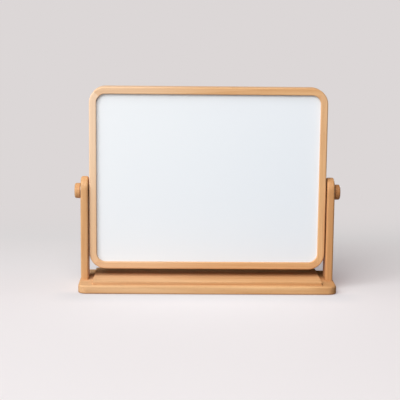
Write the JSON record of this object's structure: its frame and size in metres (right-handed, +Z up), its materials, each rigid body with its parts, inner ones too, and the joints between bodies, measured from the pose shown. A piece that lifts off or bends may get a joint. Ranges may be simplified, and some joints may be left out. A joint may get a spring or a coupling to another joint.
{
  "type": "desk whiteboard easel",
  "caption": "Free-standing magnetic desk whiteboard in a rounded wooden frame, which tilts between uprights on a flat base with a raised marker tray and is clamped by side knobs.",
  "frame": {"origin": "on the surface that it stands on, under the middle of the base", "axes": "+X along the base towards the right-hand knob as seen from the front, +Y from the front to the back, +Z up; at rest the board is upright"},
  "size_m": [0.3636, 0.103, 0.2757],
  "materials": {
    "stand_wood": "light hardwood with a fine straight grain, clear satin lacquer",
    "frame_wood": "light hardwood with a fine straight grain, clear satin lacquer",
    "knob_wood": "turned light hardwood, clear satin lacquer",
    "dowel_wood": "bare wood, hidden in the mitres",
    "core_board": "bare light fibreboard, hidden between the sheets",
    "white_steel": "smooth white dry-wipe coating on thin steel",
    "zinc_steel": "zinc plated",
    "brass": "plain",
    "rubber": "matte black",
    "fibre": "hard brown fibre, dull"
  },
  "bodies": {
    "stand": {"base_plate": "stand_wood", "tray_block": "stand_wood", "left_upright": "stand_wood", "right_upright": "stand_wood", "left_upright_screws": "zinc_steel", "right_upright_screws": "zinc_steel", "front_left_foot_pad": "rubber", "front_right_foot_pad": "rubber", "rear_left_foot_pad": "rubber", "rear_right_foot_pad": "rubber"},
    "board": {"frame_top_rail": "frame_wood", "frame_bottom_rail": "frame_wood", "frame_left_stile": "frame_wood", "frame_right_stile": "frame_wood", "board_core": "core_board", "front_writing_sheet": "white_steel", "rear_writing_sheet": "white_steel", "top_left_dowels": "dowel_wood", "top_right_dowels": "dowel_wood", "bottom_left_dowels": "dowel_wood", "bottom_right_dowels": "dowel_wood", "left_threaded_insert": "brass", "right_threaded_insert": "brass", "left_spacer_washer": "fibre", "right_spacer_washer": "fibre"},
    "left_washer": {"left_knob_washer": "zinc_steel"},
    "left_knob": {"left_knob": "knob_wood", "left_knob_stud": "zinc_steel"},
    "right_washer": {"right_knob_washer": "zinc_steel"},
    "right_knob": {"right_knob": "knob_wood", "right_knob_stud": "zinc_steel"}
  },
  "joints": [
    {"name": "board_tilt", "type": "hinge", "parent": "stand", "child": "board", "pos_m": [0, 0, 0.1328], "axis": [1, 0, 0], "range_deg": [-145, 145]},
    {"name": "left_knob_travel", "type": "slide", "parent": "board", "child": "left_washer", "axis": [-1, 0, 0], "range_m": [0, 0.004]},
    {"name": "left_knob_turn", "type": "hinge", "parent": "left_washer", "child": "left_knob", "pos_m": [-0.178, 0, 0.1328], "axis": [-1, 0, 0], "range_deg": [0, 1800]},
    {"name": "right_knob_travel", "type": "slide", "parent": "board", "child": "right_washer", "axis": [1, 0, 0], "range_m": [0, 0.004]},
    {"name": "right_knob_turn", "type": "hinge", "parent": "right_washer", "child": "right_knob", "pos_m": [0.178, 0, 0.1328], "axis": [1, 0, 0], "range_deg": [0, 1800]}
  ],
  "couplings": [
    {"joint": "left_knob_turn", "follows": "left_knob_travel", "rad_per_m": 7854},
    {"joint": "right_knob_turn", "follows": "right_knob_travel", "rad_per_m": 7854}
  ]
}
